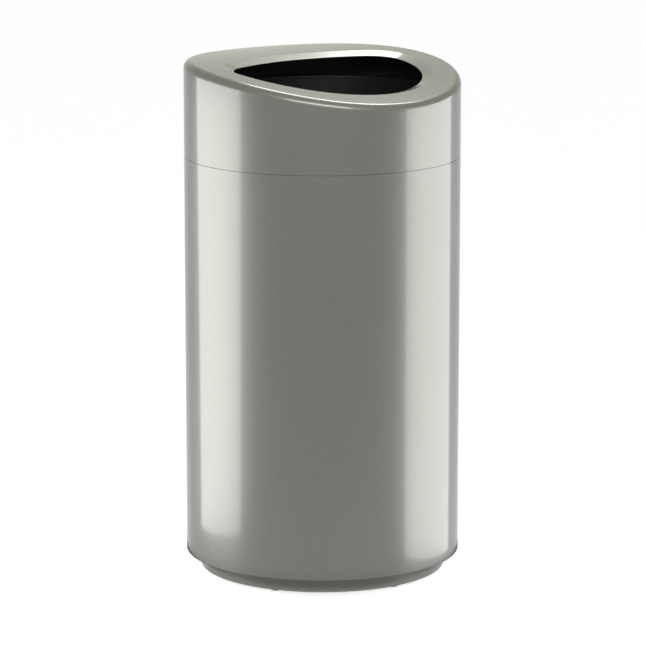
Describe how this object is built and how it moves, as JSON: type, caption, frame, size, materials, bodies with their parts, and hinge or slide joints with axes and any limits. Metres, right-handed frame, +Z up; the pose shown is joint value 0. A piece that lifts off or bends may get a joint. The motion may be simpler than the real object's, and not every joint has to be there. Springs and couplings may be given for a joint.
{
  "type": "open-top trash can",
  "caption": "Round steel trash can with a lift-off lid whose arched top slopes to a large open mouth, a rigid lift-out liner and a recessed plinth.",
  "frame": {"origin": "on the floor, at the upright axis of the can", "axes": "+Z is up, -Y is the front, where the lid's top is lowest, and +X is to the right of the can as it faces the viewer"},
  "size_m": [0.508, 0.508, 0.9482],
  "materials": {
    "silver_paint": "semi-gloss metallic silver-grey paint on sheet steel",
    "black_paint": "satin black paint on sheet steel",
    "zinc_steel": "bright zinc plating",
    "black_rubber": "matt black rubber",
    "black_plastic": "smooth black moulded polyethylene"
  },
  "bodies": {
    "can": {"body_shell": "silver_paint", "bottom_pan": "black_paint", "locating_collar": "black_paint", "lid_gasket": "black_rubber", "plinth_ring": "silver_paint", "plinth_studs": "zinc_steel", "stud_washers": "zinc_steel", "stud_nuts": "zinc_steel", "floor_bumpers": "black_rubber"},
    "liner": {"liner_bucket": "black_plastic"},
    "lid": {"lid_skirt": "silver_paint", "lid_cap": "silver_paint"}
  },
  "joints": [
    {"name": "liner_lift", "type": "slide", "parent": "can", "child": "liner", "axis": [0, 0, 1], "range_m": [0, 0.78]},
    {"name": "lid_lift", "type": "slide", "parent": "liner", "child": "lid", "axis": [0, 0, 1], "range_m": [0, 0.14]}
  ]
}
